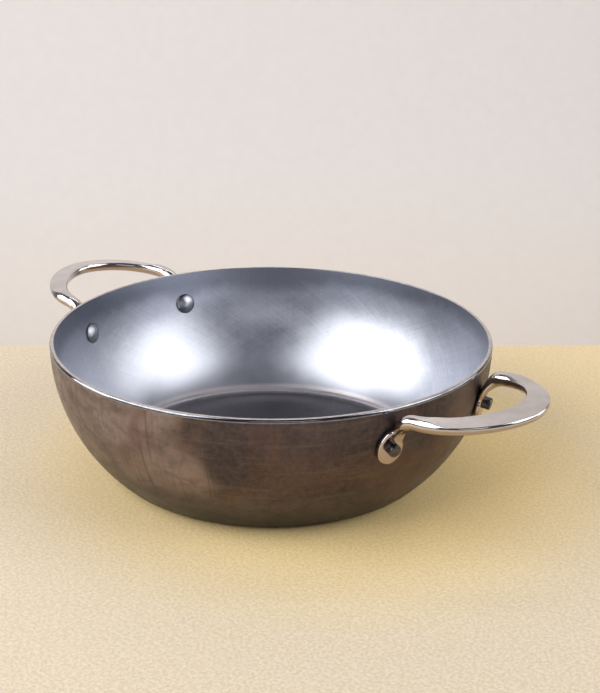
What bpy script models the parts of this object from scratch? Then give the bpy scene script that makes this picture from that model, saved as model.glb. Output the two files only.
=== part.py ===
"""Country frying pan: a deep steel pan with two cast loop handles, each on two solid rivets.

Metres, +Z up. The pan stands on z = 0 with its own axis on Z, and the handles lie along X.
"""
import math
from dataclasses import dataclass

import bmesh
import bpy
from mathutils import Matrix, Vector

# Pan, spun from one sheet. The wall leans out, runs straight below the rim, then bowls in.
RIM_DIAMETER = 0.280
PAN_HEIGHT = 0.0868
SHEET = 0.00275
RIM_LEAN = math.radians(3.3)
RIM_STRAIGHT = 0.0070
BASE_FLAT_DIAMETER = 0.1946
BASE_CORNER_RADIUS = 0.010
RIM_ROUND_WIDTH = 0.0009
RIM_ROUND_HEIGHT = 0.0014
RIM_INNER_ROUND = 0.0003

# Rivets: a low round cap inside the pan, a plain rounded tail outside the handle's pad.
RIVET_SPACING = 0.0880
RIVET_DROP = 0.0228
SHANK_DIAMETER = 0.0076
HEAD_DIAMETER = 0.0138
HEAD_HEIGHT = 0.0024
HEAD_EDGE = 0.0003
TAIL_LENGTH = 0.0047
TAIL_EDGE_ROUND = 0.0009
TAIL_DIMPLE_RADIUS = 0.0014
TAIL_DIMPLE_FLOOR_RADIUS = 0.0008
TAIL_DIMPLE_DEPTH = 0.0003

# Pad: where the handle lies on the wall. Its lower end is half round, its upper end runs in
# to the leg's width.
PAD_WIDTH = 0.0162
PAD_THICKNESS = 0.0030
PAD_SAG = 0.0030
PAD_RISE = 0.0095
PAD_TAPER_BEND = 1.6
PAD_SQUARENESS = 5.0

# Leg: a round bar that leaves the pad, turns over the knee and runs out level with the rim.
LEG_DIAMETER = 0.0088
LEG_SPREAD = 0.0884
KNEE_TOP_OUT = 0.0104
KNEE_TOP_DROP = 0.0002
KNEE_SIDE_OUT = 0.0056
KNEE_SIDE_DROP = 0.0026
KNEE_SIDE_THICKNESS = 0.0080
LIFT_OUT = 0.0011
LIFT_THICKNESS = 0.0045

# Grip: an oval arch between the legs, its top ground flat and rolled outwards.
HANDLE_REACH = 0.0593
ARCH_START = 0.0100
ARCH_BEND = 1.09
GRIP_WIDTH = 0.0153
GRIP_THICKNESS = 0.0069
GRIP_SIDE_HEIGHT = 0.0020
GRIP_RISE = 0.0013
GRIP_SLOPE = math.radians(7.4)
TIP_ROLL = math.radians(5.3)
LEG_ROLL = math.radians(14.0)
FLAT_START = 0.18
FLAT_END = 0.46

# Where the two handles sit round the rim. The left one is not quite opposite the right one.
RIGHT_ANGLE = 0.0
LEFT_ANGLE = math.radians(179.45)

# Gap left between pieces that touch.
CLEARANCE = 0.0003

# How finely the round forms are cut.
PAN_STEPS = 88
RIVET_STEPS = 20
BOWL_STEPS = 10
CORNER_STEPS = 4
DOME_STEPS = 5
TAIL_EDGE_STEPS = 3
SECTION_TOP_STEPS = 4
SECTION_UNDER_STEPS = 14
RIM_STEPS = 4
ARCH_STEPS = 6
RINGS_PER_SPAN = 2
PAD_UPPER_SHARES = (0.6, 0.25, 0.0)
PAD_LOWER_SHARES = (0.0, 0.35, 0.65, 0.87, 0.98)

RIM_RADIUS = RIM_DIAMETER / 2
BASE_FLAT_RADIUS = BASE_FLAT_DIAMETER / 2
LEG_RADIUS = LEG_DIAMETER / 2
UP = Vector((0.0, 0.0, 1.0))
ROUND = 2.0
ROUND_CORNER = math.radians(70)
DRILL_LENGTH = 4 * (SHEET + PAD_THICKNESS)
DRILL_RADIUS = SHANK_DIAMETER / 2 + CLEARANCE
MERGE_DISTANCE = 0.00001


# Scene helpers

def clear_scene():
    for item in list(bpy.data.objects):
        bpy.data.objects.remove(item, do_unlink=True)


def new_collection(name):
    collection = bpy.data.collections.new(name)
    bpy.context.scene.collection.children.link(collection)
    return collection


def steel(name, colour, roughness):
    material = bpy.data.materials.new(name)
    material.use_nodes = True
    shader = material.node_tree.nodes["Principled BSDF"]
    shader.inputs["Base Color"].default_value = (*colour, 1.0)
    shader.inputs["Metallic"].default_value = 1.0
    shader.inputs["Roughness"].default_value = roughness
    return material


def add_object(name, mesh, collection, material=None):
    item = bpy.data.objects.new(name, mesh)
    collection.objects.link(item)
    if material and not mesh.materials:
        mesh.materials.append(material)
    return item


def profile_mesh(name, points):
    """An open line of (radius, height) points in the XZ plane, for a Screw modifier."""
    mesh = bpy.data.meshes.new(name)
    edges = [(i, i + 1) for i in range(len(points) - 1)]
    mesh.from_pydata([(radius, 0.0, height) for radius, height in points], edges, [])
    return mesh


def turn(item, steps):
    screw = item.modifiers.new("Turned", "SCREW")
    screw.axis = "Z"
    screw.angle = 2 * math.pi
    screw.steps = steps
    screw.render_steps = steps
    screw.use_merge_vertices = True
    screw.merge_threshold = MERGE_DISTANCE
    screw.use_smooth_shade = True


def cut(item, cutter):
    boolean = item.modifiers.new("Cut " + cutter.name, "BOOLEAN")
    boolean.operation = "DIFFERENCE"
    boolean.object = cutter


# Pan wall, shared by the pan's two faces and by everything seated on it

@dataclass
class Arc:
    """Part of the wall, as an arc in the (radius, height) plane."""
    radius: float
    centre: Vector
    start: float
    end: float

    def point(self, angle, inset):
        """The point where the wall faces `angle` below level, `inset` inside its outer face."""
        reach = self.radius - inset
        return (self.centre.x + reach * math.cos(angle), self.centre.y - reach * math.sin(angle))


def wall_arcs():
    """The bowl arc and the base corner arc, tangent to each other and to the straight wall."""
    inward = Vector((-math.cos(RIM_LEAN), math.sin(RIM_LEAN)))
    along = Vector((math.sin(RIM_LEAN), math.cos(RIM_LEAN)))
    bowl_top = Vector((RIM_RADIUS, PAN_HEIGHT - RIM_ROUND_HEIGHT)) - RIM_STRAIGHT * along
    corner_centre = Vector((BASE_FLAT_RADIUS, BASE_CORNER_RADIUS))
    offset = bowl_top - corner_centre
    numerator = BASE_CORNER_RADIUS ** 2 - offset.dot(offset)
    bowl_radius = numerator / (2 * (offset.dot(inward) + BASE_CORNER_RADIUS))
    bowl_centre = bowl_top + bowl_radius * inward
    across = corner_centre - bowl_centre
    meeting = math.atan2(-across.y, across.x)
    bowl = Arc(bowl_radius, bowl_centre, RIM_LEAN, meeting)
    corner = Arc(BASE_CORNER_RADIUS, corner_centre, meeting, math.pi / 2)
    return bowl, corner


BOWL, CORNER = wall_arcs()


def arc_points(arc, steps, inset):
    span = arc.end - arc.start
    return [arc.point(arc.start + span * i / steps, inset) for i in range(steps + 1)]


def wall_points(inset):
    """(radius, height) down the wall, `inset` inside its outer face, from the bowl's top."""
    return arc_points(BOWL, BOWL_STEPS, inset) + arc_points(CORNER, CORNER_STEPS, inset)[1:]


def rim_points():
    """(radius, height) over the rim, from the sheet's inner face to its outer face."""
    inner_radius = RIM_RADIUS - SHEET / math.cos(RIM_LEAN)
    points = []
    for i in range(RIM_STEPS + 1):
        angle = math.pi / 2 * i / RIM_STEPS
        radius = inner_radius + RIM_INNER_ROUND * (1 - math.cos(angle))
        points.append((radius, PAN_HEIGHT - RIM_INNER_ROUND * (1 - math.sin(angle))))
    for i in range(RIM_STEPS + 1):
        angle = math.pi / 2 * i / RIM_STEPS
        radius = RIM_RADIUS - RIM_ROUND_WIDTH * (1 - math.sin(angle))
        points.append((radius, PAN_HEIGHT - RIM_ROUND_HEIGHT * (1 - math.cos(angle))))
    return points


def pan_points():
    """The sheet's whole outline, from the middle of the cooking floor to under the base."""
    inside = [(0.0, SHEET)] + wall_points(SHEET)[::-1]
    outside = wall_points(0.0) + [(0.0, 0.0)]
    return inside + rim_points() + outside


# Seats: where each rivet crosses the wall

def seat(side):
    """Frame of a rivet on the right handle: X along the wall, Y up it, Z out of it."""
    height = PAN_HEIGHT - RIVET_DROP
    tilt = math.asin((BOWL.centre.y - height) / BOWL.radius)
    radius = BOWL.point(tilt, 0.0)[0]
    turn_angle = side * math.asin(RIVET_SPACING / 2 / radius)
    out = Vector((math.cos(turn_angle) * math.cos(tilt), math.sin(turn_angle) * math.cos(tilt),
                  -math.sin(tilt)))
    sideways = Vector((-math.sin(turn_angle), math.cos(turn_angle), 0.0))
    frame = Matrix((sideways, out.cross(sideways), out)).transposed().to_4x4()
    frame.translation = (radius * math.cos(turn_angle), radius * math.sin(turn_angle), height)
    return frame


def head_gap():
    """Room under a rivet's head, whose flat underside bridges the wall's inner curve."""
    return CLEARANCE + (HEAD_DIAMETER / 2) ** 2 / (2 * (BOWL.radius - SHEET))


def rivet_points():
    """(radius, height) from the tail's end to the top of the dome, with the wall's face at 0."""
    shank = SHANK_DIAMETER / 2
    tail_end = CLEARANCE + PAD_THICKNESS + TAIL_LENGTH
    under_head = -SHEET - head_gap()
    head = HEAD_DIAMETER / 2
    points = [(0.0, tail_end - TAIL_DIMPLE_DEPTH),
              (TAIL_DIMPLE_FLOOR_RADIUS, tail_end - TAIL_DIMPLE_DEPTH),
              (TAIL_DIMPLE_RADIUS, tail_end)]
    for i in range(TAIL_EDGE_STEPS + 1):
        angle = math.pi / 2 * i / TAIL_EDGE_STEPS
        points.append((shank - TAIL_EDGE_ROUND * (1 - math.sin(angle)),
                       tail_end - TAIL_EDGE_ROUND * (1 - math.cos(angle))))
    points += [(shank, under_head), (head, under_head)]
    cap = HEAD_HEIGHT - HEAD_EDGE
    cap_radius = (head ** 2 + cap ** 2) / (2 * cap)
    for i in range(DOME_STEPS + 1):
        radius = head * (1 - i / DOME_STEPS)
        rise = HEAD_HEIGHT - cap_radius + math.sqrt(cap_radius ** 2 - radius ** 2)
        points.append((radius, under_head - rise))
    return points


# Handle

@dataclass
class Station:
    """A cross section of the handle: an ellipse about `centre`, cut flat above it."""
    centre: Vector
    top: Vector
    roll: float
    half_width: float
    rise: float
    fall: float
    flat: float
    square: float

    def mixed(self, other, share):
        return Station(self.centre, self.top.lerp(other.top, share),
                       mix(self.roll, other.roll, share),
                       mix(self.half_width, other.half_width, share),
                       mix(self.rise, other.rise, share), mix(self.fall, other.fall, share),
                       mix(self.flat, other.flat, share),
                       mix(self.square, other.square, share))


def mix(a, b, share):
    return a + (b - a) * share


def bar_height(x):
    """Height of the leg's and the grip's middle line, at distance x from the pan's axis."""
    tip = RIM_RADIUS + HANDLE_REACH - GRIP_WIDTH / 2
    return PAN_HEIGHT + GRIP_RISE + (x - tip) * math.tan(GRIP_SLOPE)


def arch_station(angle):
    """The grip's section, `angle` round the arch from its tip."""
    reach = HANDLE_REACH - ARCH_START - GRIP_WIDTH / 2
    fullness = math.cos(angle)
    x = RIM_RADIUS + ARCH_START + reach * fullness ** ARCH_BEND
    y = LEG_SPREAD / 2 * math.sin(angle) ** ARCH_BEND
    ground = min(max((fullness - FLAT_START) / (FLAT_END - FLAT_START), 0.0), 1.0)
    return Station(Vector((x, y, bar_height(x))), UP, mix(LEG_ROLL, TIP_ROLL, fullness),
                   mix(LEG_RADIUS, GRIP_WIDTH / 2, fullness), LEG_RADIUS,
                   mix(LEG_RADIUS, GRIP_THICKNESS - GRIP_SIDE_HEIGHT, fullness),
                   mix(LEG_RADIUS, GRIP_SIDE_HEIGHT, ground), ROUND)


def bar_station(centre, top, width, thickness, roll=0.0):
    half = thickness / 2
    return Station(centre, top, roll, width / 2, half, half, half, ROUND)


def pad_station(frame, height):
    """The pad's section at `height` above the rivet, measured up the wall."""
    half = PAD_WIDTH / 2
    below = max(0.0, -height - PAD_SAG)
    taper = max(0.0, height / PAD_RISE) ** PAD_TAPER_BEND
    offset = (LEG_RADIUS - half) * taper
    half_width = math.sqrt(max(half ** 2 - below ** 2, 0.0)) + offset
    centre = frame @ Vector((offset, height, CLEARANCE + PAD_THICKNESS / 2))
    inward = frame.to_3x3() @ Vector((0.0, 0.0, -1.0))
    thin = PAD_THICKNESS / 2
    return Station(centre, inward, 0.0, half_width, thin, thin, thin, PAD_SQUARENESS)


def handle_stations():
    """The handle's sections from the tip of the grip to the bottom of the +Y pad."""
    frame = seat(1)
    inward = frame.to_3x3() @ Vector((0.0, 0.0, -1.0))
    stations = [arch_station(math.radians(90) * i / ARCH_STEPS) for i in range(ARCH_STEPS)]
    leg_y = LEG_SPREAD / 2
    pad_top = pad_station(frame, PAD_RISE).centre
    knee_x = pad_top.x + KNEE_TOP_OUT
    leg_x = RIM_RADIUS + ARCH_START
    stations.append(bar_station(Vector((leg_x, leg_y, bar_height(leg_x))), UP,
                                LEG_DIAMETER, LEG_DIAMETER, LEG_ROLL))
    knee_top = Vector((knee_x, leg_y, bar_height(knee_x) - KNEE_TOP_DROP))
    stations.append(bar_station(knee_top, UP, LEG_DIAMETER, LEG_DIAMETER))
    knee_side = knee_top + Vector((KNEE_SIDE_OUT - KNEE_TOP_OUT, 0.0, -KNEE_SIDE_DROP))
    stations.append(bar_station(knee_side, (UP + inward).normalized(), LEG_DIAMETER,
                                KNEE_SIDE_THICKNESS))
    stations.append(bar_station(pad_top + Vector((LIFT_OUT, 0.0, 0.0)), inward,
                                LEG_DIAMETER, LIFT_THICKNESS))
    for share in PAD_UPPER_SHARES:
        stations.append(pad_station(frame, PAD_RISE * share))
    for share in PAD_LOWER_SHARES:
        stations.append(pad_station(frame, -PAD_SAG - share * PAD_WIDTH / 2))
    return stations


def curve_point(points, index, share):
    """A point of the smooth curve through `points`, `share` of the way on from `index`."""
    before = points[max(index - 1, 0)]
    start = points[index]
    end = points[index + 1]
    after = points[min(index + 2, len(points) - 1)]
    if index == 0:
        before = Vector((end.x, -end.y, end.z))
    t = share
    first = (2 * start) + (end - before) * t
    second = (2 * before - 5 * start + 4 * end - after) * t ** 2
    third = (3 * start - before - 3 * end + after) * t ** 3
    return (first + second + third) / 2


def handle_rings():
    """Sections and path directions closely spaced along the handle's +Y half."""
    stations = handle_stations()
    places = [station.centre for station in stations]
    rings = []
    for index in range(len(stations) - 1):
        for i in range(RINGS_PER_SPAN):
            share = i / RINGS_PER_SPAN
            ring = stations[index].mixed(stations[index + 1], share)
            ring.centre = curve_point(places, index, share)
            rings.append(ring)
    rings.append(stations[-1])
    return rings


def section_points(ring, along):
    """The ring's outline, counted round from its outer side over the top."""
    level = (ring.top - along * ring.top.dot(along)).normalized()
    outward = along.cross(level)
    top = level * math.cos(ring.roll) + outward * math.sin(ring.roll)
    side = outward * math.cos(ring.roll) - level * math.sin(ring.roll)
    corner = min(math.asin(min(ring.flat / ring.rise, 1.0)), ROUND_CORNER)
    top_span = math.pi - 2 * corner
    under_span = math.pi + 2 * corner
    angles = [corner + top_span * i / SECTION_TOP_STEPS for i in range(SECTION_TOP_STEPS)]
    angles += [math.pi - corner + under_span * i / SECTION_UNDER_STEPS
               for i in range(SECTION_UNDER_STEPS)]
    power = 2 / ring.square
    points = []
    for angle in angles:
        across = math.copysign(abs(math.cos(angle)) ** power, math.cos(angle))
        height = math.copysign(abs(math.sin(angle)) ** power, math.sin(angle))
        height *= ring.rise if height > 0 else ring.fall
        height = min(height, ring.flat)
        points.append(ring.centre + side * across * ring.half_width + top * height)
    return points


def handle_mesh(name):
    """Loft of the +Y half, open on the plane between the legs."""
    rings = handle_rings()
    form = bmesh.new()
    loops = []
    for index, ring in enumerate(rings):
        before = rings[max(index - 1, 0)].centre
        after = rings[min(index + 1, len(rings) - 1)].centre
        along = (after - before).normalized()
        if index == 0:
            along = Vector((0.0, 1.0, 0.0))
        loops.append([form.verts.new(point) for point in section_points(ring, along)])
    count = len(loops[0])
    for here, there in zip(loops, loops[1:]):
        for i in range(count):
            j = (i + 1) % count
            form.faces.new((here[i], there[i], there[j], here[j]))
    form.faces.new(loops[-1])
    bmesh.ops.recalc_face_normals(form, faces=form.faces)
    mesh = bpy.data.meshes.new(name)
    form.to_mesh(mesh)
    form.free()
    mesh.shade_smooth()
    return mesh


# Assembly

def make_cutters(collection):
    """A drill through each rivet hole, reaching past the pan's wall and the handle's pad."""
    cutters = []
    for turn_angle in (RIGHT_ANGLE, LEFT_ANGLE):
        for side in (-1, 1):
            form = bmesh.new()
            bmesh.ops.create_cone(form, cap_ends=True, segments=RIVET_STEPS,
                                  depth=DRILL_LENGTH, radius1=DRILL_RADIUS,
                                  radius2=DRILL_RADIUS)
            mesh = bpy.data.meshes.new("rivet_hole")
            form.to_mesh(mesh)
            form.free()
            cutter = add_object("rivet_hole", mesh, collection)
            cutter.matrix_world = Matrix.Rotation(turn_angle, 4, "Z") @ seat(side)
            cutter.hide_render = True
            cutter.display_type = "WIRE"
            cutters.append(cutter)
    return cutters


def make_pan(collection, cutters):
    material = steel("carbon_steel", (0.36, 0.33, 0.32), 0.42)
    pan = add_object("pan_body", profile_mesh("pan_body", pan_points()), collection, material)
    turn(pan, PAN_STEPS)
    for cutter in cutters:
        cut(pan, cutter)


def make_handle(name, turn_angle, collection, cutters):
    handle = add_object(name, handle_mesh(name), collection,
                        steel("polished_steel", (0.72, 0.69, 0.66), 0.12))
    mirror = handle.modifiers.new("Other leg", "MIRROR")
    mirror.use_axis = (False, True, False)
    mirror.use_clip = False
    mirror.merge_threshold = MERGE_DISTANCE
    handle.rotation_euler.z = turn_angle
    for cutter in cutters:
        cut(handle, cutter)


def make_rivets(names, turn_angle, collection):
    material = steel("rivet_steel", (0.32, 0.33, 0.35), 0.35)
    for name, side in zip(names, (-1, 1)):
        rivet = add_object(name, profile_mesh(name, rivet_points()), collection, material)
        turn(rivet, RIVET_STEPS)
        rivet.matrix_world = Matrix.Rotation(turn_angle, 4, "Z") @ seat(side)


def main():
    clear_scene()
    parts = new_collection("country_frying_pan")
    cutters = make_cutters(new_collection("cutters"))
    make_pan(parts, cutters)
    make_handle("handle_right", RIGHT_ANGLE, parts, cutters[:2])
    make_handle("handle_left", LEFT_ANGLE, parts, cutters[2:])
    make_rivets(("rivet_right_front", "rivet_right_back"), RIGHT_ANGLE, parts)
    make_rivets(("rivet_left_back", "rivet_left_front"), LEFT_ANGLE, parts)


main()
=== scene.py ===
"""Looks of the country frying pan: finer surfaces, finishes, studio light and the camera.

Metres, +Z up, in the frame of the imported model. The pan's axis is Z and the handles lie along X.
"""
import math
from dataclasses import dataclass

import bmesh
import bpy
from mathutils import Euler, Matrix, Vector


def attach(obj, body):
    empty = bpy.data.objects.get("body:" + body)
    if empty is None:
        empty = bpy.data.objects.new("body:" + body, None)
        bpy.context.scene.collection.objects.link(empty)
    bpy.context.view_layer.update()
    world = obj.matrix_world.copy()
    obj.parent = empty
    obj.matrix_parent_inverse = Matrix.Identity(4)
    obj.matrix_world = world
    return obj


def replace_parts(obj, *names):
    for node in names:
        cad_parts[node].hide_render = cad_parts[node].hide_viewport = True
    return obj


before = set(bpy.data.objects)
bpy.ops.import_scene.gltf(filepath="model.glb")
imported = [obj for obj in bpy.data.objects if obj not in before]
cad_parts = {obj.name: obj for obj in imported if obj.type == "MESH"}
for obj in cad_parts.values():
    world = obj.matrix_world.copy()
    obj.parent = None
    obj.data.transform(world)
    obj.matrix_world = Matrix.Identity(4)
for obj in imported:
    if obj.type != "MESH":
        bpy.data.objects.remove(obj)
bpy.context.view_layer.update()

# Pan
RIM_DIAMETER = 0.280
PAN_HEIGHT = 0.0868
SHEET = 0.00275
RIM_LEAN = math.radians(3.3)
RIM_STRAIGHT = 0.0063
BASE_FLAT_DIAMETER = 0.1946
BASE_CORNER_RADIUS = 0.010
FLOOR_CORNER_RADIUS = 0.0115
RIM_ROUND_WIDTH = 0.0011
RIM_ROUND_HEIGHT = 0.0021
RIM_INNER_ROUND = 0.0003

# Rivets
RIVET_SPACING = 0.0880
RIVET_DROP = 0.0228
SHANK_DIAMETER = 0.0076
HEAD_DIAMETER = 0.0138
HEAD_HEIGHT = 0.0024
HEAD_EDGE = 0.0003
TAIL_LENGTH = 0.0047
TAIL_EDGE_ROUND = 0.0009
TAIL_DIMPLE_RADIUS = 0.0014
TAIL_DIMPLE_DEPTH = 0.0003

# Pad
PAD_WIDTH = 0.0162
PAD_THICKNESS = 0.0030
PAD_SAG = 0.0030
PAD_RISE = 0.0095
PAD_TAPER_BEND = 1.6

# Leg
LEG_DIAMETER = 0.0088
LEG_SPREAD = 0.0884
KNEE_TOP_OUT = 0.0104
KNEE_TOP_DROP = 0.0002
KNEE_SIDE_OUT = 0.0056
KNEE_SIDE_DROP = 0.0026
KNEE_SIDE_THICKNESS = 0.0080
LIFT_OUT = 0.0011
LIFT_THICKNESS = 0.0045

# Grip
HANDLE_REACH = 0.05923
ARCH_START = 0.0100
ARCH_BEND = 1.09
GRIP_WIDTH = 0.0153
GRIP_THICKNESS = 0.0069
GRIP_SIDE_HEIGHT = 0.0020
GRIP_RISE = 0.0013
GRIP_SLOPE = math.radians(7.4)
TIP_ROLL = math.radians(5.3)
LEG_ROLL = math.radians(14.0)
FLAT_START = 0.18
FLAT_END = 0.46

# Where the handles sit, and the gap between pieces that touch
RIGHT_ANGLE = 0.0
LEFT_ANGLE = math.radians(179.45)
CLEARANCE = 0.0003

# Curve of a handle's section, where 2 is an ellipse, and the widest corner beside its flat
ROUND = 2.0
PAD_SQUARENESS = 6.0
MOST_CORNER = math.radians(70)

# How finely the surfaces are cut
PAN_STEPS = 288
FLOOR_STEPS = 8
BOWL_STEPS = 40
CORNER_STEPS = 12
RIM_STEPS = 8
RIVET_STEPS = 56
DOME_STEPS = 12
ARCH_STEPS = 14
RINGS_PER_SPAN = 4
SMOOTH_PASSES = 3
PAD_TOP_SHARES = (0.6, 0.25, 0.0)
PAD_END_STEPS = 12
PAD_END_ANGLE = math.radians(88)
FLAT_EDGE = 0.035
SECTION_TOP_SHARES = [0.0, FLAT_EDGE] + [i / 6 for i in range(1, 6)] + [1.0 - FLAT_EDGE]
SECTION_UNDER_SHARES = [0.0, 0.025] + [i / 30 for i in range(2, 29)] + [0.975]

# Values that follow from the ones above
RIM_RADIUS = RIM_DIAMETER / 2
BASE_FLAT_RADIUS = BASE_FLAT_DIAMETER / 2
LEG_RADIUS = LEG_DIAMETER / 2
UP = Vector((0.0, 0.0, 1.0))

# Camera, and the sides of the pan that the camera and the table's front are on
CAMERA_PLACE = (0.54449, -0.58389, 0.37850)
CAMERA_TURN = (math.radians(69.296), math.radians(-0.650), math.radians(41.948))
CAMERA_AZIMUTH = math.radians(43.0)
TABLE_AZIMUTH = math.radians(43.94)
SENSOR_WIDTH = 36.0
LENS = 69.15
CLIP_START = 0.01

# Table and wall behind
TABLE_BACK = 0.205
TABLE_DROP = 0.0002
WALL_BACK = 1.2
STAGE_HALF = 3.0

# Colours inside the pan, as a darker and a paler shade where there are two
WALL_STEEL = (0.485, 0.500, 0.556), (0.565, 0.580, 0.636)
WALL_MARK = (0.250, 0.266, 0.310)
# Painted dark reflection: a darker band high on the inner wall, for the dark room it mirrors
WALL_PAINTED_DARK_REFLECTION = (0.205, 0.219, 0.262)
# Painted shade low on the inner wall, just above the floor's corner
WALL_PAINTED_SHADE_LOW = (0.360, 0.372, 0.420)
# Painted highlight: a pale ring where the wall meets the floor, for the light the corner reflects
PAINTED_HIGHLIGHT_RING = (0.860, 0.800, 0.805)
FLOOR_STEEL = (0.154, 0.151, 0.164), (0.196, 0.193, 0.209)
FLOOR_SPECK = (0.42, 0.41, 0.42)

# Colours of the rim and the pan's outside
# Rim: a paler top over a rounded side that is partly tinted and partly painted dark for the room it
# reflects
RIM_TOP = (0.58, 0.54, 0.53), (0.70, 0.665, 0.655)
RIM_SIDE_TINT_AND_DARK_REFLECTION = (0.21, 0.215, 0.245), (0.30, 0.305, 0.335)
TINT_DARK = (0.051, 0.037, 0.041), (0.090, 0.068, 0.075)
# Painted light: the paler tint on the side to the camera's left
TINT_PAINTED_LIGHT = (0.210, 0.146, 0.124), (0.305, 0.236, 0.220)
TINT_BLOTCH = (0.046, 0.038, 0.036)
TINT_RUN = (0.050, 0.042, 0.040)
TINT_RUST = (0.142, 0.076, 0.062)
TINT_BAND = (0.180, 0.142, 0.122)
TINT_GRAIN = (0.200, 0.165, 0.150)
TINT_PIT = (0.016, 0.014, 0.014)
# Painted shade near the bottom of the outside, next to the table
TINT_PAINTED_SHADE_LOW = (0.026, 0.027, 0.031)

# Colours of the handles and rivets
POLISH = (0.610, 0.570, 0.560), (0.690, 0.650, 0.640)
# Painted shade on what faces down
POLISH_PAINTED_SHADE_UNDER = (0.400, 0.310, 0.265)
RIVET_HEAD = (0.40, 0.41, 0.45), (0.44, 0.45, 0.49)
RIVET_TAIL = (0.060, 0.062, 0.070), (0.120, 0.112, 0.110)

# Colours of the studio
# Painted warm bounce light on the wall's lower part
PLASTER_PAINTED_BOUNCE = (0.800, 0.728, 0.668), (0.814, 0.742, 0.682)
PLASTER_HIGH = (0.784, 0.744, 0.722), (0.798, 0.758, 0.736)
TABLE_PALE = (0.655, 0.555, 0.412), (0.792, 0.697, 0.558)
# Painted warm shade: the warm yellow tone about the pan's foot and in its shadow
TABLE_PAINTED_WARM_SHADE = (0.860, 0.630, 0.275), (0.970, 0.752, 0.380)
# Painted shade far to either side of the table, where the lamps fall off
TABLE_PAINTED_SHADE_ASIDE = (0.300, 0.262, 0.205)
WHITE_LIGHT = (1.0, 1.0, 1.0)
WARM_LIGHT = (1.0, 0.80, 0.68)
WORLD_COLOUR = (0.60, 0.68, 1.0, 1.0)
WORLD_STRENGTH = 0.09

# Where the finishes and the painted light and shade change: distances from the pan's axis, then
# heights
FLOOR_END = (0.1000, 0.1024)
RING_START = (0.1010, 0.1026)
RING_END = (0.1040, 0.1064)
RIVET_HEAD_END = (0.133, 0.136)
PAINTED_SHADE_INSIDE = (0.006, 0.030)
GLOSS_INSIDE = (0.010, 0.034)
MARKS_INSIDE = (0.010, 0.044)
PAINTED_REFLECTION_INSIDE = (0.0640, 0.0760)
PAINTED_SHADE_OUTSIDE = (0.002, 0.026)
PAINTED_LIGHT_OUTSIDE = (0.018, 0.046)
PAINTED_BOUNCE_HEIGHTS = (-0.38, -0.02)

# Grinding strokes along the wall
STROKE_RADIUS = 0.12
SEAM_TURN = math.pi + math.radians(47)
SEAM_FADE = (2.7, 3.05)

# Depth of each relief
INSIDE_RELIEF = 0.000018
RIM_RELIEF = 0.00002
OUTSIDE_RELIEF = 0.00003
HANDLE_RELIEF = 0.00005
RIVET_RELIEF = 0.000003

# Softboxes: degrees right of the camera, degrees up, distance, width, height, radiance
SOFTBOXES = [
    (70.7, 30.7, 1.5, 0.96, 1.08, 3.4),
    (-61.0, 35.6, 1.5, 1.27, 1.28, 3.7),
    (-95.0, 18.0, 1.5, 0.74, 1.10, 4.1),
    (104.0, 17.0, 1.5, 0.70, 0.90, 2.1),
    (6.0, 17.0, 2.2, 1.20, 0.45, 0.95),
]

# Other lamps: name, place and aim as (distance, height), width, height, radiance, colour
OTHER_LAMPS = [
    ("ceiling", (-0.25, 1.5), (-0.25, 0.0), 2.0, 0.8, 0.14, WARM_LIGHT),
    ("low_wall_light", (-0.50, -0.50), (-WALL_BACK, 0.15), 2.6, 0.4, 1.38, WHITE_LIGHT),
    ("high_wall_light", (-0.75, 1.85), (-WALL_BACK, 1.2), 2.0, 0.4, 3.05, WHITE_LIGHT),
]


def mix(a, b, share):
    return a + (b - a) * share


# Meshes

def add_piece(name, mesh):
    piece = bpy.data.objects.new(name, mesh)
    bpy.context.scene.collection.objects.link(piece)
    mesh.shade_smooth()
    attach(piece, "root")
    return piece


def mesh_from(form, name):
    """The finished form as a mesh, with all its faces looking outwards."""
    bmesh.ops.recalc_face_normals(form, faces=form.faces)
    mesh = bpy.data.meshes.new(name)
    form.to_mesh(mesh)
    form.free()
    return mesh


def turned_mesh(name, points, steps, material_of=lambda i: 0):
    """A surface turned about Z from (radius, height) points, closed where the radius is 0."""
    form = bmesh.new()
    rings = []
    for radius, height in points:
        if radius == 0.0:
            rings.append([form.verts.new((0.0, 0.0, height))] * steps)
            continue
        ring = []
        for i in range(steps):
            angle = 2 * math.pi * i / steps
            place = (radius * math.cos(angle), radius * math.sin(angle), height)
            ring.append(form.verts.new(place))
        rings.append(ring)
    for index, (here, there) in enumerate(zip(rings, rings[1:])):
        for i in range(steps):
            j = (i + 1) % steps
            corners = [here[i], here[j], there[j], there[i]]
            if here[i] is here[j]:
                corners = [here[i], there[j], there[i]]
            elif there[i] is there[j]:
                corners = [here[i], here[j], there[i]]
            form.faces.new(corners).material_index = material_of(index)
    return mesh_from(form, name)


# Pan

@dataclass
class Arc:
    """Part of the wall, as an arc in the (radius, height) plane."""
    radius: float
    centre: Vector
    start: float
    end: float

    def point(self, angle):
        return (self.centre.x + self.radius * math.cos(angle),
                self.centre.y - self.radius * math.sin(angle))

    def points(self, steps):
        span = self.end - self.start
        return [self.point(self.start + span * i / steps) for i in range(steps + 1)]


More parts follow.
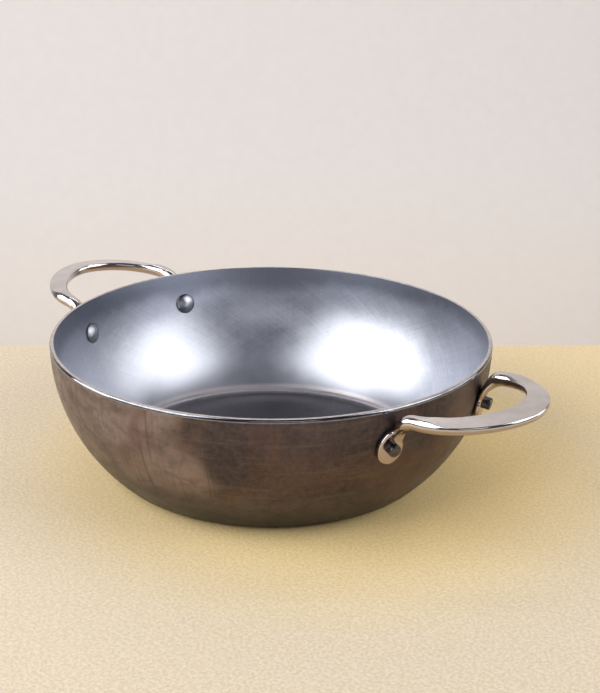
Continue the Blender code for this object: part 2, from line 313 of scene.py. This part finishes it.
def wall_arcs():
    """The bowl arc and the base corner arc, tangent to each other and to the straight wall,
    then the same two for the wall's inner face."""
    inward = Vector((-math.cos(RIM_LEAN), math.sin(RIM_LEAN)))
    along = Vector((math.sin(RIM_LEAN), math.cos(RIM_LEAN)))
    bowl_top = Vector((RIM_RADIUS, PAN_HEIGHT - RIM_ROUND_HEIGHT)) - RIM_STRAIGHT * along
    corner_centre = Vector((BASE_FLAT_RADIUS, BASE_CORNER_RADIUS))
    offset = bowl_top - corner_centre
    numerator = BASE_CORNER_RADIUS ** 2 - offset.dot(offset)
    bowl_radius = numerator / (2 * (offset.dot(inward) + BASE_CORNER_RADIUS))
    bowl_centre = bowl_top + bowl_radius * inward
    across = corner_centre - bowl_centre
    meeting = math.atan2(-across.y, across.x)
    bowl = Arc(bowl_radius, bowl_centre, RIM_LEAN, meeting)
    corner = Arc(BASE_CORNER_RADIUS, corner_centre, meeting, math.pi / 2)
    inner_radius = bowl_radius - SHEET
    between = inner_radius - FLOOR_CORNER_RADIUS
    meeting = math.asin((bowl_centre.y - SHEET - FLOOR_CORNER_RADIUS) / between)
    centre = bowl_centre + between * Vector((math.cos(meeting), -math.sin(meeting)))
    inner_bowl = Arc(inner_radius, bowl_centre, RIM_LEAN, meeting)
    inner_corner = Arc(FLOOR_CORNER_RADIUS, centre, meeting, math.pi / 2)
    return bowl, corner, inner_bowl, inner_corner


BOWL, CORNER, INNER_BOWL, INNER_CORNER = wall_arcs()


def wall_points(bowl, corner):
    """(radius, height) down a face of the wall, from the bowl's top."""
    return bowl.points(BOWL_STEPS) + corner.points(CORNER_STEPS)[1:]


def rim_points():
    """(radius, height) over the rim, from the sheet's inner face to its outer face."""
    inner_radius = RIM_RADIUS - SHEET / math.cos(RIM_LEAN)
    angles = [math.pi / 2 * i / RIM_STEPS for i in range(RIM_STEPS + 1)]
    points = []
    for angle in angles:
        radius = inner_radius + RIM_INNER_ROUND * (1 - math.cos(angle))
        points.append((radius, PAN_HEIGHT - RIM_INNER_ROUND * (1 - math.sin(angle))))
    for angle in angles:
        radius = RIM_RADIUS - RIM_ROUND_WIDTH * (1 - math.sin(angle))
        points.append((radius, PAN_HEIGHT - RIM_ROUND_HEIGHT * (1 - math.cos(angle))))
    return points


def make_pan(inside, rim, outside):
    shares = [i / FLOOR_STEPS for i in range(FLOOR_STEPS)]
    floor = [(INNER_CORNER.centre.x * share, SHEET) for share in shares]
    inner = floor + wall_points(INNER_BOWL, INNER_CORNER)[::-1]
    over = rim_points()
    under = [(BASE_FLAT_RADIUS * share, 0.0) for share in shares[::-1]]
    points = inner + over + wall_points(BOWL, CORNER) + under
    first_rim = len(inner) + 1
    last_rim = len(inner) + len(over) - 1

    def material_of(index):
        if index < first_rim:
            return 0
        return 1 if index < last_rim else 2

    mesh = turned_mesh("pan", points, PAN_STEPS, material_of)
    for material in (inside, rim, outside):
        mesh.materials.append(material)
    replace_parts(add_piece("pan", mesh), "pan_body")


# Rivets

def seat(side):
    """Frame of a rivet on the right handle: X along the wall, Y up it, Z out of it."""
    height = PAN_HEIGHT - RIVET_DROP
    tilt = math.asin((BOWL.centre.y - height) / BOWL.radius)
    radius = BOWL.point(tilt)[0]
    turn_angle = side * math.asin(RIVET_SPACING / 2 / radius)
    out = Vector((math.cos(turn_angle) * math.cos(tilt), math.sin(turn_angle) * math.cos(tilt),
                  -math.sin(tilt)))
    sideways = Vector((-math.sin(turn_angle), math.cos(turn_angle), 0.0))
    place = Matrix((sideways, out.cross(sideways), out)).transposed().to_4x4()
    place.translation = (radius * math.cos(turn_angle), radius * math.sin(turn_angle), height)
    return place


def rivet_points():
    """(radius, height) from the tail's end to the top of the dome, with the wall's face at 0."""
    shank = SHANK_DIAMETER / 2
    head = HEAD_DIAMETER / 2
    tail_end = CLEARANCE + PAD_THICKNESS + TAIL_LENGTH
    head_gap = CLEARANCE + head ** 2 / (2 * (BOWL.radius - SHEET))
    under_head = -SHEET - head_gap
    points = []
    for i in range(DOME_STEPS + 1):
        share = i / DOME_STEPS
        depth = TAIL_DIMPLE_DEPTH * (1 + math.cos(math.pi * share)) / 2
        points.append((TAIL_DIMPLE_RADIUS * share, tail_end - depth))
    for i in range(DOME_STEPS + 1):
        angle = math.pi / 2 * i / DOME_STEPS
        points.append((shank - TAIL_EDGE_ROUND * (1 - math.sin(angle)),
                       tail_end - TAIL_EDGE_ROUND * (1 - math.cos(angle))))
    points += [(shank, tail_end - TAIL_LENGTH / 2), (shank, under_head), (head, under_head)]
    cap = HEAD_HEIGHT - HEAD_EDGE
    cap_radius = (head ** 2 + cap ** 2) / (2 * cap)
    for i in range(DOME_STEPS + 1):
        radius = head * (1 - i / DOME_STEPS)
        rise = HEAD_HEIGHT - cap_radius + math.sqrt(cap_radius ** 2 - radius ** 2)
        points.append((radius, under_head - rise))
    return points


def make_rivet(name, node, side, turn_angle, material):
    mesh = turned_mesh(name, rivet_points(), RIVET_STEPS)
    mesh.transform(Matrix.Rotation(turn_angle, 4, "Z") @ seat(side))
    mesh.materials.append(material)
    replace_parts(add_piece(name, mesh), node)


# Handles

@dataclass
class Station:
    """A cross section of the handle: an ellipse about `centre`, cut flat above it."""
    centre: Vector
    top: Vector
    roll: float
    half_width: float
    rise: float
    fall: float
    flat: float
    square: float

    def numbers(self):
        return [*self.centre, *self.top, self.roll, self.half_width, self.rise, self.fall,
                self.flat, self.square]


def station_from(numbers):
    return Station(Vector(numbers[0:3]), Vector(numbers[3:6]), *numbers[6:])


def bar_height(x):
    """Height of the leg's and the grip's middle line, at distance x from the pan's axis."""
    tip = RIM_RADIUS + HANDLE_REACH - GRIP_WIDTH / 2
    return PAN_HEIGHT + GRIP_RISE + (x - tip) * math.tan(GRIP_SLOPE)


def arch_station(angle):
    """The grip's section, `angle` round the arch from its tip."""
    reach = HANDLE_REACH - ARCH_START - GRIP_WIDTH / 2
    fullness = math.cos(angle)
    x = RIM_RADIUS + ARCH_START + reach * fullness ** ARCH_BEND
    y = LEG_SPREAD / 2 * math.sin(angle) ** ARCH_BEND
    ground = min(max((fullness - FLAT_START) / (FLAT_END - FLAT_START), 0.0), 1.0)
    return Station(Vector((x, y, bar_height(x))), UP, mix(LEG_ROLL, TIP_ROLL, fullness),
                   mix(LEG_RADIUS, GRIP_WIDTH / 2, fullness), LEG_RADIUS,
                   mix(LEG_RADIUS, GRIP_THICKNESS - GRIP_SIDE_HEIGHT, fullness),
                   mix(LEG_RADIUS, GRIP_SIDE_HEIGHT, ground), ROUND)


def bar_station(centre, top, width, thickness, roll=0.0):
    half = thickness / 2
    return Station(centre, top, roll, width / 2, half, half, half, ROUND)


def pad_station(place, height):
    """The pad's section at `height` above the rivet, measured up the wall."""
    half = PAD_WIDTH / 2
    below = max(0.0, -height - PAD_SAG)
    taper = max(0.0, height / PAD_RISE) ** PAD_TAPER_BEND
    offset = (LEG_RADIUS - half) * taper
    half_width = math.sqrt(max(half ** 2 - below ** 2, 0.0)) + offset
    centre = place @ Vector((offset, height, CLEARANCE + PAD_THICKNESS / 2))
    inward = place.to_3x3() @ Vector((0.0, 0.0, -1.0))
    thin = PAD_THICKNESS / 2
    return Station(centre, inward, 0.0, half_width, thin, thin, thin, PAD_SQUARENESS)


def handle_stations():
    """The handle's sections from the tip of the grip to the bottom of the +Y pad, and how many
    of them there are down to the rivet."""
    place = seat(1)
    inward = place.to_3x3() @ Vector((0.0, 0.0, -1.0))
    stations = [arch_station(math.radians(90) * i / ARCH_STEPS) for i in range(ARCH_STEPS)]
    leg_y = LEG_SPREAD / 2
    leg_x = RIM_RADIUS + ARCH_START
    stations.append(bar_station(Vector((leg_x, leg_y, bar_height(leg_x))), UP,
                                LEG_DIAMETER, LEG_DIAMETER, LEG_ROLL))
    pad_top = pad_station(place, PAD_RISE).centre
    knee_x = pad_top.x + KNEE_TOP_OUT
    knee_top = Vector((knee_x, leg_y, bar_height(knee_x) - KNEE_TOP_DROP))
    stations.append(bar_station(knee_top, UP, LEG_DIAMETER, LEG_DIAMETER))
    knee_side = knee_top + Vector((KNEE_SIDE_OUT - KNEE_TOP_OUT, 0.0, -KNEE_SIDE_DROP))
    stations.append(bar_station(knee_side, (UP + inward).normalized(), LEG_DIAMETER,
                                KNEE_SIDE_THICKNESS))
    stations.append(bar_station(pad_top + Vector((LIFT_OUT, 0.0, 0.0)), inward,
                                LEG_DIAMETER, LIFT_THICKNESS))
    for share in PAD_TOP_SHARES:
        stations.append(pad_station(place, PAD_RISE * share))
    smoothed = len(stations)
    for i in range(PAD_END_STEPS + 1):
        angle = PAD_END_ANGLE * i / PAD_END_STEPS
        stations.append(pad_station(place, -PAD_SAG - math.sin(angle) * PAD_WIDTH / 2))
    return stations, smoothed


def curve_values(rows, index, share):
    """All of a station's numbers on the smooth curve through the stations.

    Beyond its tip the grip goes on as its own mirror image.
    """
    start = rows[index]
    end = rows[index + 1]
    after = rows[min(index + 2, len(rows) - 1)]
    before = rows[index - 1] if index > 0 else [end[0], -end[1], *end[2:]]
    values = []
    for a, b, c, d in zip(before, start, end, after):
        values.append((2 * b + (c - a) * share + (2 * a - 5 * b + 4 * c - d) * share ** 2
                       + (3 * b - a - 3 * c + d) * share ** 3) / 2)
    return values


def handle_rings():
    """Sections closely spaced along the handle's +Y half, evened out above the pad."""
    stations, smoothed = handle_stations()
    rows = [station.numbers() for station in stations]
    rings = []
    for index in range(len(rows) - 1):
        spans = RINGS_PER_SPAN if index < smoothed else 1
        for i in range(spans):
            rings.append(curve_values(rows, index, i / spans))
    rings.append(rows[-1])
    last = (smoothed - 2) * RINGS_PER_SPAN
    for _ in range(SMOOTH_PASSES):
        evened = [list(row) for row in rings]
        for i in range(1, last):
            evened[i] = [(a + 2 * b + c) / 4
                         for a, b, c in zip(rings[i - 1], rings[i], rings[i + 1])]
        rings = evened
    return [station_from(row) for row in rings]


def section_points(ring, along):
    """The ring's outline, counted round from its outer side over the top."""
    level = (ring.top - along * ring.top.dot(along)).normalized()
    outward = along.cross(level)
    top = level * math.cos(ring.roll) + outward * math.sin(ring.roll)
    side = outward * math.cos(ring.roll) - level * math.sin(ring.roll)
    corner = min(math.asin(min(max(ring.flat / ring.rise, 0.0), 1.0)), MOST_CORNER)
    top_span = math.pi - 2 * corner
    under_span = math.pi + 2 * corner
    angles = [corner + top_span * share for share in SECTION_TOP_SHARES]
    angles += [math.pi - corner + under_span * share for share in SECTION_UNDER_SHARES]
    power = 2 / ring.square
    points = []
    for angle in angles:
        across = math.copysign(abs(math.cos(angle)) ** power, math.cos(angle))
        height = math.copysign(abs(math.sin(angle)) ** power, math.sin(angle))
        height *= ring.rise if height > 0 else ring.fall
        height = min(height, ring.flat)
        points.append(ring.centre + side * across * ring.half_width + top * height)
    return points


def handle_mesh(name):
    """The whole handle from its +Y half and that half's mirror image."""
    rings = handle_rings()
    loops = []
    for index, ring in enumerate(rings):
        before = rings[max(index - 1, 0)].centre
        after = rings[min(index + 1, len(rings) - 1)].centre
        along = (after - before).normalized()
        if index == 0:
            along = Vector((0.0, 1.0, 0.0))
        loops.append(section_points(ring, along))
    mirrored = [[Vector((p.x, -p.y, p.z)) for p in loop] for loop in loops[:0:-1]]
    form = bmesh.new()
    rows = [[form.verts.new(point) for point in loop] for loop in mirrored + loops]
    count = len(rows[0])
    for here, there in zip(rows, rows[1:]):
        for i in range(count):
            j = (i + 1) % count
            form.faces.new((here[i], there[i], there[j], here[j]))
    form.faces.new(rows[0])
    form.faces.new(rows[-1][::-1])
    return mesh_from(form, name)


def make_handle(name, node, turn_angle, material):
    mesh = handle_mesh(name)
    mesh.transform(Matrix.Rotation(turn_angle, 4, "Z"))
    mesh.materials.append(material)
    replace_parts(add_piece(name, mesh), node)


# Materials

class Nodes:
    """Short names for building a material's nodes."""

    def __init__(self, name):
        self.material = bpy.data.materials.new(name)
        self.material.use_nodes = True
        self.tree = self.material.node_tree
        self.shader = self.tree.nodes["Principled BSDF"]

    def node(self, kind, **settings):
        node = self.tree.nodes.new("ShaderNode" + kind)
        for key, value in settings.items():
            setattr(node, key, value)
        return node

    def put(self, value, socket):
        """Link a socket, or set a constant on it."""
        if isinstance(value, bpy.types.NodeSocket):
            self.tree.links.new(value, socket)
        else:
            socket.default_value = value

    def math(self, operation, a, b=0.0):
        node = self.node("Math", operation=operation)
        self.put(a, node.inputs[0])
        self.put(b, node.inputs[1])
        return node.outputs[0]

    def plus(self, a, b):
        return self.math("ADD", a, b)

    def minus(self, a, b):
        return self.math("SUBTRACT", a, b)

    def times(self, a, b):
        return self.math("MULTIPLY", a, b)

    def length(self, x, y):
        return self.math("SQRT", self.plus(self.times(x, x), self.times(y, y)))

    def place(self):
        return self.node("TexCoord").outputs["Object"]

    def slope(self):
        """How far the surface faces up, from -1 to 1."""
        return self.parts(self.node("TexCoord").outputs["Normal"])[2]

    def parts(self, vector):
        node = self.node("SeparateXYZ")
        self.put(vector, node.inputs[0])
        return node.outputs

    def vector(self, x, y, z):
        node = self.node("CombineXYZ")
        for value, socket in zip((x, y, z), node.inputs):
            self.put(value, socket)
        return node.outputs[0]

    def noise(self, vector, scale, detail=2.0, roughness=0.5, distortion=0.0):
        node = self.node("TexNoise")
        self.put(vector, node.inputs["Vector"])
        node.inputs["Scale"].default_value = scale
        node.inputs["Detail"].default_value = detail
        node.inputs["Roughness"].default_value = roughness
        node.inputs["Distortion"].default_value = distortion
        return node.outputs[0]

    def stretched(self, vector, turn, scale):
        node = self.node("Mapping")
        self.put(vector, node.inputs["Vector"])
        node.inputs["Rotation"].default_value = turn
        node.inputs["Scale"].default_value = scale
        return node.outputs[0]

    def turned(self, angle):
        """X, Y and Z in axes turned about the pan's own."""
        return self.parts(self.stretched(self.place(), (0.0, 0.0, angle), (1.0, 1.0, 1.0)))

    def span(self, value, low, high, start=0.0, end=1.0):
        """`start` up to `low`, `end` from `high`, and a smooth step between them."""
        node = self.node("MapRange", interpolation_type="SMOOTHSTEP")
        self.put(value, node.inputs[0])
        for i, number in enumerate((low, high, start, end)):
            node.inputs[i + 1].default_value = number
        return node.outputs[0]

    def blend(self, share, a, b):
        node = self.node("Mix", data_type="RGBA")
        self.put(share, node.inputs[0])
        for colour, socket in ((a, node.inputs[6]), (b, node.inputs[7])):
            is_socket = isinstance(colour, bpy.types.NodeSocket)
            self.put(colour if is_socket else (*colour, 1.0), socket)
        return node.outputs[2]

    def bump(self, height, distance):
        node = self.node("Bump")
        self.put(height, node.inputs["Height"])
        node.inputs["Distance"].default_value = distance
        return node.outputs[0]

    def set(self, **values):
        for key, value in values.items():
            self.put(value, self.shader.inputs[key.replace("_", " ")])

    def brush_round(self, amount):
        """Stretch the highlights as turning marks round the pan's axis do."""
        tangent = self.node("Tangent", direction_type="RADIAL", axis="Z")
        self.set(Anisotropic=amount, Tangent=tangent.outputs[0])


def turned_place(nodes, radial, around):
    """Coordinates that follow the pan's turning: (cos, sin) round the axis and the run down it.

    The distance from the axis and the height come with them.
    """
    x, y, z = nodes.parts(nodes.place())
    radius = nodes.length(x, y)
    safe = nodes.math("MAXIMUM", radius, 0.001)
    run = nodes.times(nodes.plus(radius, z), radial)
    cos = nodes.times(nodes.math("DIVIDE", x, safe), around)
    sin = nodes.times(nodes.math("DIVIDE", y, safe), around)
    return nodes.vector(cos, sin, run), radius, z


def wall_strokes(nodes, lean, long, fine):
    """Straight grinding strokes along the wall, leaning by an angle from the level.

    SEAM_TURN brings the jump in the angle round the pan to the side nearest the camera, and the
    strokes fade out there. STROKE_RADIUS turns that angle into a length.
    """
    x, y, z = nodes.turned(SEAM_TURN)
    angle = nodes.math("ARCTAN2", y, x)
    run = nodes.plus(nodes.length(x, y), z)
    around = nodes.times(angle, STROKE_RADIUS)
    along = nodes.plus(nodes.times(around, math.cos(lean)), nodes.times(run, math.sin(lean)))
    across = nodes.minus(nodes.times(run, math.cos(lean)), nodes.times(around, math.sin(lean)))
    where = nodes.vector(nodes.times(along, long), nodes.times(across, fine), 0.0)
    fade = nodes.span(nodes.math("ABSOLUTE", angle), *SEAM_FADE, 1.0, 0.0)
    return nodes.times(nodes.minus(nodes.noise(where, 1.0, 3.0, 0.65, 0.8), 0.5), fade)


def inside_steel():
    """Ground steel with turning marks and crossed strokes over a dull floor, with a painted
    highlight ring at the floor's corner, painted shade low on the wall and a painted dark
    reflection high on it.
    """
    nodes = Nodes("spun_steel")
    place = nodes.place()
    turned, radius, height = turned_place(nodes, 1500.0, 5.0)
    rings = nodes.minus(nodes.noise(turned, 1.0, 3.0, 0.6), 0.5)
    down = nodes.minus(nodes.noise(turned_place(nodes, 25.0, 190.0)[0], 1.0, 2.0), 0.5)
    patch = nodes.noise(place, 9.0, 3.0, 0.5, 0.6)
    crossed = nodes.plus(wall_strokes(nodes, 0.80, 26.0, 620.0),
                         wall_strokes(nodes, -0.62, 34.0, 900.0))
    crossed = nodes.times(crossed, nodes.span(patch, 0.35, 0.6, 0.7, 1.3))
    marks = nodes.plus(nodes.times(rings, 0.6), crossed)
    marks = nodes.plus(marks, nodes.times(down, 0.6))
    marks = nodes.times(marks, nodes.span(height, *MARKS_INSIDE, 0.25, 1.0))
    cloud = nodes.noise(place, 22.0, 5.0, 0.62, 0.5)
    dull = nodes.span(cloud, 0.35, 0.68)
    right = nodes.turned(-TABLE_AZIMUTH)[0]
    # A painted dark reflection high on the wall, starting a little higher towards the table's right
    painted_reflection = nodes.plus(height, nodes.span(cloud, 0.3, 0.7, -0.004, 0.004))
    painted_reflection = nodes.plus(painted_reflection, nodes.span(right, 0.0, 0.08, 0.0, -0.009))
    ring = nodes.times(nodes.span(radius, *RING_START), nodes.span(radius, *RING_END, 1.0, 0.0))
    wall = nodes.blend(dull, *WALL_STEEL)
    wall = nodes.blend(nodes.span(marks, -0.32, 0.30, 0.34, 0.0), wall, WALL_MARK)
    wall = nodes.blend(nodes.span(painted_reflection, *PAINTED_REFLECTION_INSIDE, 0.0, 0.66), wall, WALL_PAINTED_DARK_REFLECTION)
    # Painted shade: darker low on the wall above the floor's corner
    wall = nodes.blend(nodes.span(height, *PAINTED_SHADE_INSIDE, 0.32, 0.0), wall, WALL_PAINTED_SHADE_LOW)
    # A painted highlight ring at the floor's corner
    wall = nodes.blend(nodes.times(ring, 0.9), wall, PAINTED_HIGHLIGHT_RING)
    specks = nodes.span(nodes.noise(place, 620.0, 1.0), 0.70, 0.76)
    floor = nodes.blend(specks, nodes.blend(dull, *FLOOR_STEEL), FLOOR_SPECK)
    on_floor = nodes.span(radius, *FLOOR_END, 1.0, 0.0)
    rough = nodes.plus(nodes.span(marks, -0.35, 0.35, 0.31, 0.37),
                       nodes.span(cloud, 0.3, 0.7, -0.02, 0.03))
    rough = nodes.plus(rough, nodes.span(height, *GLOSS_INSIDE, -0.030, 0.0))
    rough = nodes.plus(rough, nodes.times(on_floor, 0.19))
    nodes.set(Base_Color=nodes.blend(on_floor, wall, floor), Metallic=1.0, Roughness=rough,
              Normal=nodes.bump(marks, INSIDE_RELIEF))
    nodes.brush_round(0.5)
    return nodes.material


def rim_steel():
    """The sheet's cut edge: bare steel, paler on top, its rounded side darker, partly tinted steel
    and partly a painted dark reflection.
    """
    nodes = Nodes("cut_edge")
    fine = nodes.noise(turned_place(nodes, 900.0, 12.0)[0], 1.0, 3.0)
    nicks = nodes.noise(nodes.place(), 260.0, 3.0)
    nicked = nodes.span(nicks, 0.35, 0.7)
    # Colour by how far the face turns up: partly tinted steel, partly a painted dark reflection on
    # the round side
    colour = nodes.blend(nodes.span(nodes.slope(), 0.78, 0.97),
                         nodes.blend(nicked, *RIM_SIDE_TINT_AND_DARK_REFLECTION), nodes.blend(nicked, *RIM_TOP))
    nodes.set(Base_Color=colour, Metallic=1.0, Roughness=nodes.span(fine, 0.3, 0.7, 0.07, 0.14),
              Normal=nodes.bump(nicks, RIM_RELIEF))
    return nodes.material


def outside_steel():
    """Brown tinted steel with soft clouds, runs, rust and pits; painted light makes it paler on the
    left, painted shade darker near the bottom.
    """
    nodes = Nodes("tinted_steel")
    place = nodes.place()
    bands = nodes.noise(turned_place(nodes, 260.0, 3.0)[0], 1.0, 3.0, 0.55, 0.3)
    turned, _, height = turned_place(nodes, 11.0, 46.0)
    runs = nodes.noise(turned, 1.0, 3.0, 0.55, 0.4)
    cloud = nodes.noise(place, 16.0, 4.0, 0.55, 0.5)
    upright = nodes.stretched(place, (0.0, 0.0, 0.0), (1.0, 1.0, 1.4))
    blotch = nodes.noise(upright, 62.0, 6.0, 0.68, 0.3)
    fine = nodes.noise(place, 330.0, 4.0, 0.7)
    rust = nodes.noise(place, 12.0, 5.0, 0.62, 0.8)
    pits = nodes.span(nodes.noise(place, 300.0, 3.0, 0.7), 0.69, 0.74)
    # Painted light: a paler patch on the side to the camera's left, at middle heights
    x, y, _ = nodes.parts(place)
    left = nodes.plus(nodes.times(x, -math.cos(CAMERA_AZIMUTH)),
                      nodes.times(y, -math.sin(CAMERA_AZIMUTH)))
    left = nodes.plus(left, nodes.span(cloud, 0.3, 0.7, -0.020, 0.020))
    patch = nodes.times(nodes.span(left, 0.020, 0.058), nodes.span(height, *PAINTED_LIGHT_OUTSIDE))
    dark = nodes.blend(nodes.span(cloud, 0.36, 0.64), *TINT_DARK)
    light = nodes.blend(nodes.span(cloud, 0.40, 0.60), *TINT_PAINTED_LIGHT)
    brown = nodes.blend(patch, dark, light)
    brown = nodes.blend(nodes.span(blotch, 0.42, 0.70, 0.0, 0.55), brown, TINT_BLOTCH)
    brown = nodes.blend(nodes.span(runs, 0.54, 0.66, 0.0, 0.40), brown, TINT_RUN)
    brown = nodes.blend(nodes.span(rust, 0.53, 0.68, 0.0, 0.55), brown, TINT_RUST)
    brown = nodes.blend(nodes.span(bands, 0.55, 0.66, 0.0, 0.22), brown, TINT_BAND)
    brown = nodes.blend(nodes.span(fine, 0.35, 0.75, 0.0, 0.30), brown, TINT_GRAIN)
    colour = nodes.blend(pits, brown, TINT_PIT)
    # Painted shade: darker towards the bottom of the outside
    colour = nodes.blend(nodes.span(height, *PAINTED_SHADE_OUTSIDE, 0.82, 0.0), colour, TINT_PAINTED_SHADE_LOW)
    rough = nodes.plus(nodes.span(blotch, 0.3, 0.7, 0.34, 0.46),
                       nodes.span(fine, 0.3, 0.7, -0.03, 0.04))
    relief = nodes.plus(nodes.times(bands, 0.4), nodes.times(fine, 0.5))
    relief = nodes.minus(relief, pits)
    nodes.set(Base_Color=colour, Metallic=0.8, Roughness=rough,
              Normal=nodes.bump(relief, OUTSIDE_RELIEF))
    nodes.brush_round(0.25)
    return nodes.material


def polished_steel():
    """Mirror polish with faint scratches, and painted shade making what faces down darker and
    browner.
    """
    nodes = Nodes("polished_steel")
    place = nodes.place()
    cast = nodes.noise(place, 120.0, 3.0)
    brushed = nodes.stretched(place, (0.0, 0.0, 0.6), (2500.0, 90.0, 900.0))
    scratches = nodes.noise(brushed, 1.0, 2.0)
    colour = nodes.blend(nodes.span(cast, 0.3, 0.7), *POLISH)
    # Painted shade: darker and browner on what faces down
    colour = nodes.blend(nodes.span(nodes.slope(), -0.25, 0.12, 0.8, 0.0), colour, POLISH_PAINTED_SHADE_UNDER)
    nodes.set(Base_Color=colour, Metallic=1.0,
              Roughness=nodes.span(scratches, 0.3, 0.75, 0.10, 0.17),
              Normal=nodes.bump(cast, HANDLE_RELIEF))
    return nodes.material


def rivet_steel():
    """Satin heads inside the pan and dark tails outside it."""
    nodes = Nodes("rivet_steel")
    place = nodes.place()
    cloud = nodes.noise(place, 300.0, 3.0, 0.55)
    mottle = nodes.span(cloud, 0.35, 0.65)
    x, y, _ = nodes.parts(place)
    colour = nodes.blend(nodes.span(nodes.length(x, y), *RIVET_HEAD_END),
                         nodes.blend(mottle, *RIVET_HEAD), nodes.blend(mottle, *RIVET_TAIL))
    nodes.set(Base_Color=colour, Metallic=1.0, Roughness=nodes.span(cloud, 0.3, 0.7, 0.30, 0.35),
              Normal=nodes.bump(cloud, RIVET_RELIEF))
    return nodes.material


# Studio

def wall_material():
    """Pale plaster, with painted warm bounce light low down."""
    nodes = Nodes("wall")
    place = nodes.place()
    fleck = nodes.span(nodes.noise(place, 60.0, 3.0), 0.3, 0.7)
    # Painted warm bounce light from the table, fading out upwards
    height = nodes.span(nodes.parts(place)[2], *PAINTED_BOUNCE_HEIGHTS)
    colour = nodes.blend(height, nodes.blend(fleck, *PLASTER_PAINTED_BOUNCE),
                         nodes.blend(fleck, *PLASTER_HIGH))
    nodes.set(Base_Color=colour, Roughness=0.9, Specular_IOR_Level=0.15)
    return nodes.material


def table_material():
    """A plain pale card with painted warm shade about the pan's foot and in its shadow to the
    right, and painted shade far to either side.
    """
    nodes = Nodes("table")
    grain = nodes.span(nodes.noise(nodes.place(), 520.0, 4.0, 0.75), 0.36, 0.64)
    right, back, _ = nodes.turned(-TABLE_AZIMUTH)
    # Painted warm shade about the pan and in its shadow to its right
    across = nodes.minus(right, 0.04)
    beside = nodes.times(nodes.span(across, 0.02, 0.17, 0.0, 0.55),
                         nodes.span(back, -0.10, 0.06, 0.25, 1.0))
    about = nodes.span(nodes.length(across, back), 0.10, 0.24, 1.0, 0.10)
    painted_warm_shade = nodes.math("MAXIMUM", about, beside)
    # Painted shade: darker far to either side
    painted_falloff = nodes.span(nodes.math("ABSOLUTE", right), 0.32, 0.80, 0.0, 0.9)
    colour = nodes.blend(painted_warm_shade, nodes.blend(grain, *TABLE_PALE),
                         nodes.blend(grain, *TABLE_PAINTED_WARM_SHADE))
    nodes.set(Base_Color=nodes.blend(painted_falloff, colour, TABLE_PAINTED_SHADE_ASIDE), Roughness=0.9,
              Specular_IOR_Level=0.15)
    return nodes.material


def add_sheet(name, corners, material):
    mesh = bpy.data.meshes.new(name)
    mesh.from_pydata(corners, [], [(0, 1, 2, 3)])
    mesh.materials.append(material)
    sheet = bpy.data.objects.new(name, mesh)
    bpy.context.scene.collection.objects.link(sheet)


def at_azimuth(azimuth, distance, height):
    """The place `distance` from the pan's axis, `azimuth` round it from -Y towards +X."""
    return Vector((math.sin(azimuth) * distance, -math.cos(azimuth) * distance, height))


def make_studio():
    """A table that ends behind the pan, and a wall further back."""
    table = table_material()
    wall = wall_material()
    along = at_azimuth(TABLE_AZIMUTH + math.pi / 2, STAGE_HALF, 0.0)
    front = at_azimuth(TABLE_AZIMUTH, 2 * STAGE_HALF, 0.0)
    drop = Vector((0.0, 0.0, -STAGE_HALF / 2))
    rise = Vector((0.0, 0.0, 1.5 * STAGE_HALF))
    edge = at_azimuth(TABLE_AZIMUTH, -TABLE_BACK, -TABLE_DROP)
    left = edge - along
    right = edge + along
    add_sheet("table", [left, left + front, right + front, right], table)
    add_sheet("table_front", [left, right, right + drop, left + drop], table)
    foot = at_azimuth(TABLE_AZIMUTH, -WALL_BACK, -STAGE_HALF / 2)
    left = foot - along
    right = foot + along
    add_sheet("wall", [left, right, right + rise, left + rise], wall)


def add_lamp(name, place, aim, width, height, radiance, colour):
    light = bpy.data.lights.new(name, "AREA")
    light.shape = "RECTANGLE"
    light.size = width
    light.size_y = height
    light.energy = radiance * math.pi * width * height
    light.color = colour
    lamp = bpy.data.objects.new(name, light)
    bpy.context.scene.collection.objects.link(lamp)
    lamp.location = place
    lamp.rotation_euler = (aim - place).to_track_quat("-Z", "Y").to_euler()


def make_lights():
    for azimuth, elevation, distance, *size_and_radiance in SOFTBOXES:
        lift = math.radians(elevation)
        place = at_azimuth(CAMERA_AZIMUTH + math.radians(azimuth), distance * math.cos(lift),
                           distance * math.sin(lift))
        add_lamp("softbox", place, Vector(), *size_and_radiance, WHITE_LIGHT)
    for name, place, aim, *rest in OTHER_LAMPS:
        add_lamp(name, at_azimuth(TABLE_AZIMUTH, *place), at_azimuth(TABLE_AZIMUTH, *aim), *rest)
    world = bpy.data.worlds.new("studio")
    world.use_nodes = True
    backdrop = world.node_tree.nodes["Background"]
    backdrop.inputs["Color"].default_value = WORLD_COLOUR
    backdrop.inputs["Strength"].default_value = WORLD_STRENGTH
    bpy.context.scene.world = world


def make_camera():
    data = bpy.data.cameras.new("camera")
    data.sensor_width = SENSOR_WIDTH
    data.lens = LENS
    data.clip_start = CLIP_START
    camera = bpy.data.objects.new("camera", data)
    camera.location = CAMERA_PLACE
    camera.rotation_euler = Euler(CAMERA_TURN)
    bpy.context.scene.collection.objects.link(camera)
    bpy.context.scene.camera = camera


def main():
    make_pan(inside_steel(), rim_steel(), outside_steel())
    polished = polished_steel()
    make_handle("grip_right", "handle_right", RIGHT_ANGLE, polished)
    make_handle("grip_left", "handle_left", LEFT_ANGLE, polished)
    dark = rivet_steel()
    make_rivet("stud_right_front", "rivet_right_front", -1, RIGHT_ANGLE, dark)
    make_rivet("stud_right_back", "rivet_right_back", 1, RIGHT_ANGLE, dark)
    make_rivet("stud_left_back", "rivet_left_back", -1, LEFT_ANGLE, dark)
    make_rivet("stud_left_front", "rivet_left_front", 1, LEFT_ANGLE, dark)
    make_studio()
    make_lights()
    make_camera()
    bpy.context.scene.view_settings.view_transform = "Standard"


main()
